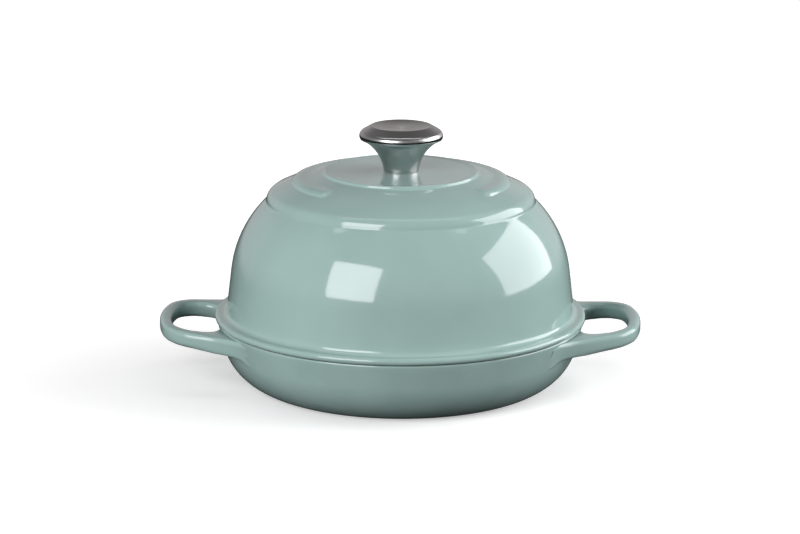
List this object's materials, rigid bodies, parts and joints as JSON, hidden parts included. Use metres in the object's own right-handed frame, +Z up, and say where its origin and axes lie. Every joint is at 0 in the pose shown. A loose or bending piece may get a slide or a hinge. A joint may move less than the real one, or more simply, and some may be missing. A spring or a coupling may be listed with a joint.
{
  "type": "bread cloche",
  "caption": "Enamelled cast-iron bread cloche: tall domed lid with a flared steel knob on a shallow round pan with loop handles.",
  "frame": {"origin": "centre of the pan's foot, on the surface it stands on", "axes": "+Z up along the axis of pan, dome and knob; +X through the right handle; -Y is the front, where the raised ring on the crown is interrupted"},
  "size_m": [0.3324, 0.256, 0.1802],
  "materials": {
    "enamel": "glossy sage vitreous enamel over cast iron, with satin black enamel inside and bare matt rims",
    "knob_steel": "satin polished stainless steel",
    "fastener_steel": "plain stainless steel"
  },
  "bodies": {
    "pan": {"base_pan": "enamel"},
    "screw": {"knob_screw": "fastener_steel"},
    "lid": {"dome_lid": "enamel", "knob_stem": "knob_steel", "knob_cap": "knob_steel", "knob_insert": "fastener_steel", "flat_washer": "fastener_steel", "spring_washer": "fastener_steel"}
  },
  "joints": [
    {"name": "lid_lift", "type": "slide", "parent": "pan", "child": "screw", "axis": [0, 0, 1], "range_m": [0, 0.2]},
    {"name": "lid_turn", "type": "hinge", "parent": "screw", "child": "lid", "pos_m": [0, 0, 0.1486], "axis": [0, 0, 1], "continuous": true}
  ]
}
